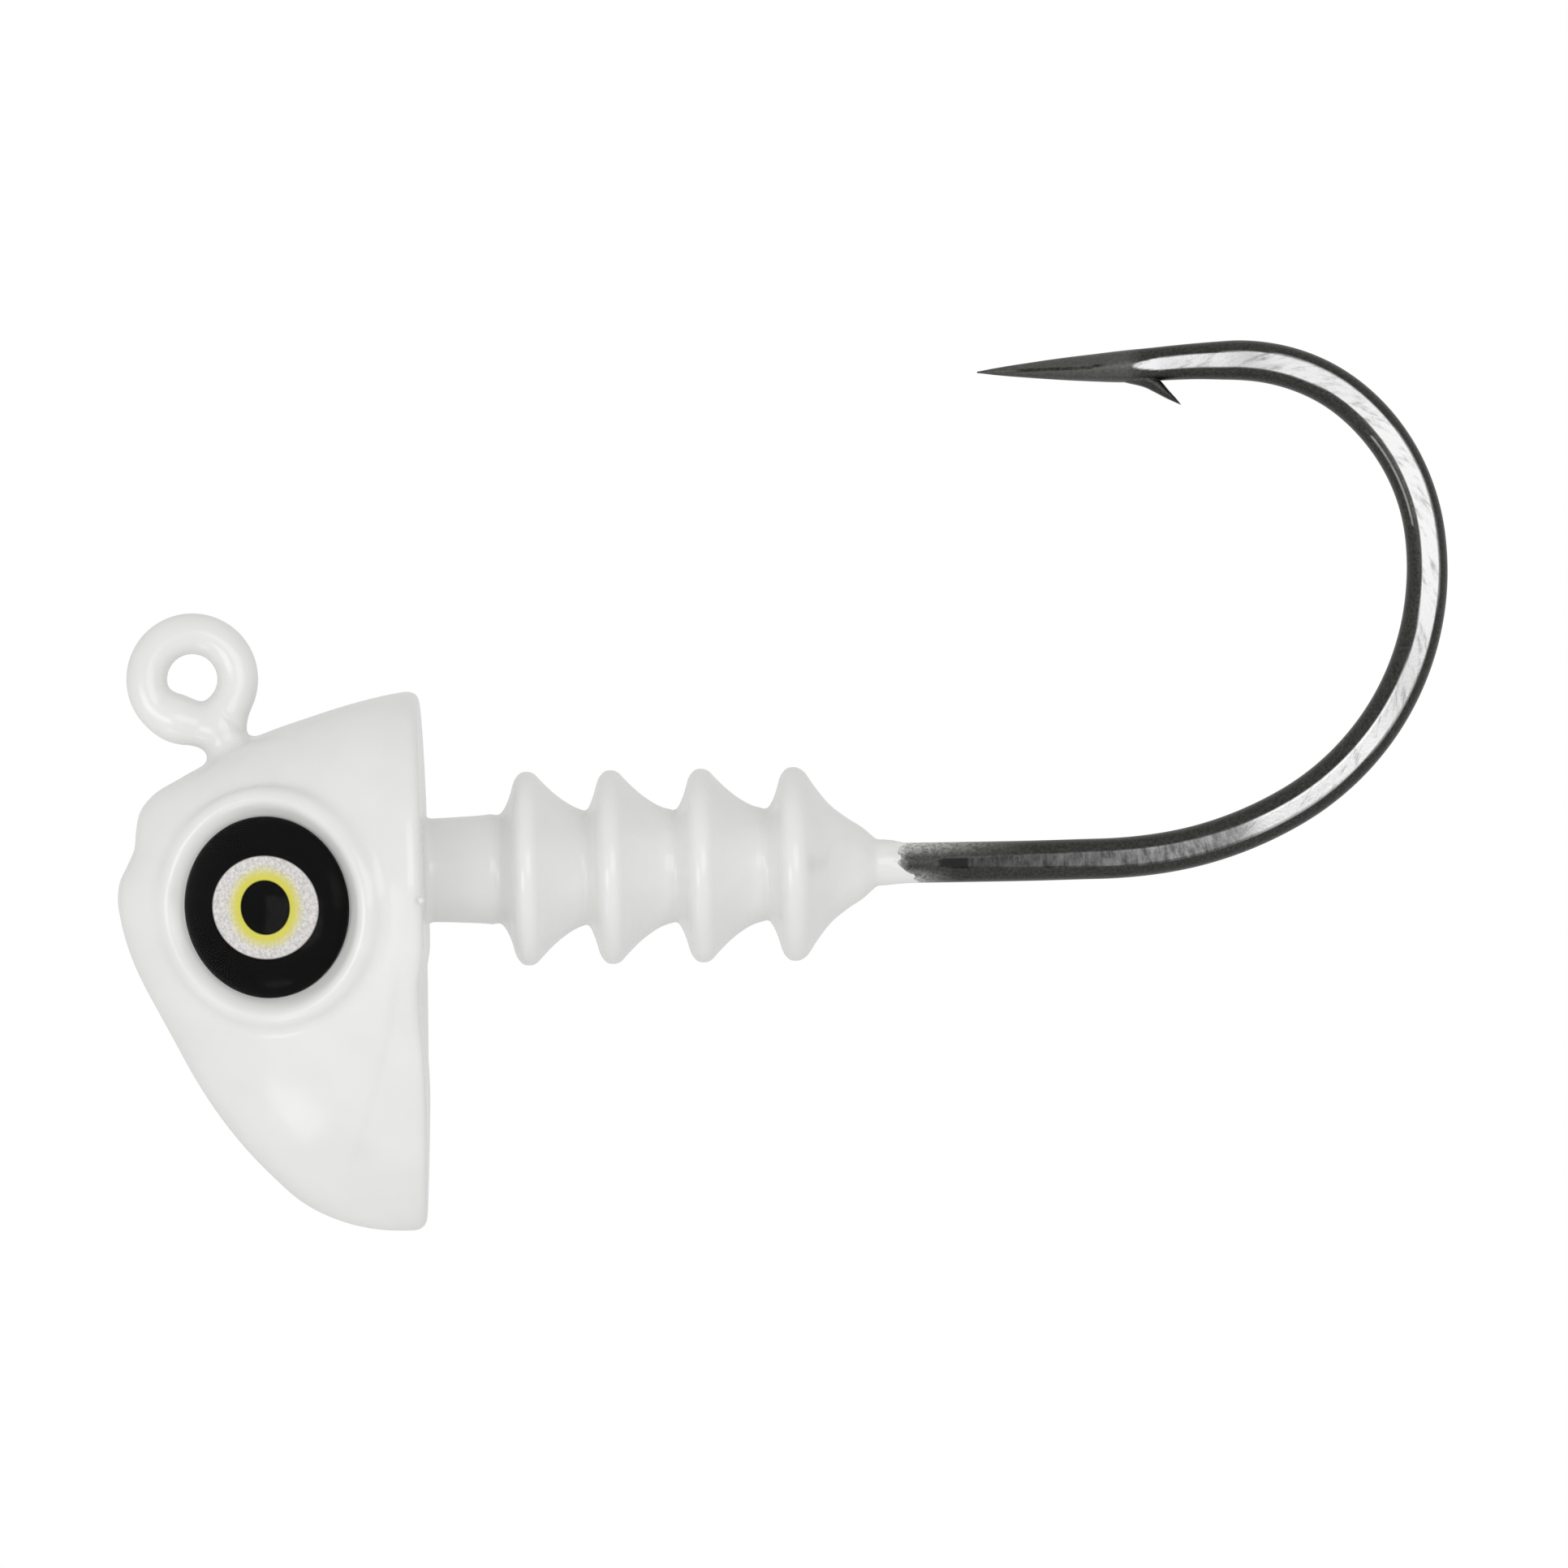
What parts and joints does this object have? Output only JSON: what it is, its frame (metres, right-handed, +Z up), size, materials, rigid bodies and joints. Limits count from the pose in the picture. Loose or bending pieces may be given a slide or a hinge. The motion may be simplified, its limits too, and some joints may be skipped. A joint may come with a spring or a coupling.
{
  "type": "jig head",
  "caption": "Fishing jig head: a forged hook cast into a gloss painted, fish-shaped lead head with a ribbed bait keeper, a line eye and domed stick-on eyes.",
  "frame": {"origin": "centre of the line eye, in the hook's middle plane", "axes": "+X from the fish's nose back along the hook's shank to the bend; +Y along the line eye's axis, towards the fish's right side; +Z up, from the keel to the line eye and the hook's point"},
  "size_m": [0.0516, 0.0128, 0.034],
  "materials": {
    "hook_steel": "forged high-carbon steel wire in bright black nickel, with lighter polished flats on the sides of the bend",
    "lead": "dull cast lead with a little antimony",
    "white_paint": "baked white gloss powder coat",
    "eye_adhesive": "pressure-sensitive acrylic adhesive",
    "eye_film": "printed polyester foil: black round a pale silvery iris with a black pupil",
    "eye_dome": "clear cast epoxy"
  },
  "bodies": {
    "root": {"hook": "hook_steel", "head_casting": "lead", "powder_coat": "white_paint", "eye_adhesive_left": "eye_adhesive", "eye_adhesive_right": "eye_adhesive", "eye_film_left": "eye_film", "eye_film_right": "eye_film", "eye_dome_left": "eye_dome", "eye_dome_right": "eye_dome"}
  },
  "joints": []
}
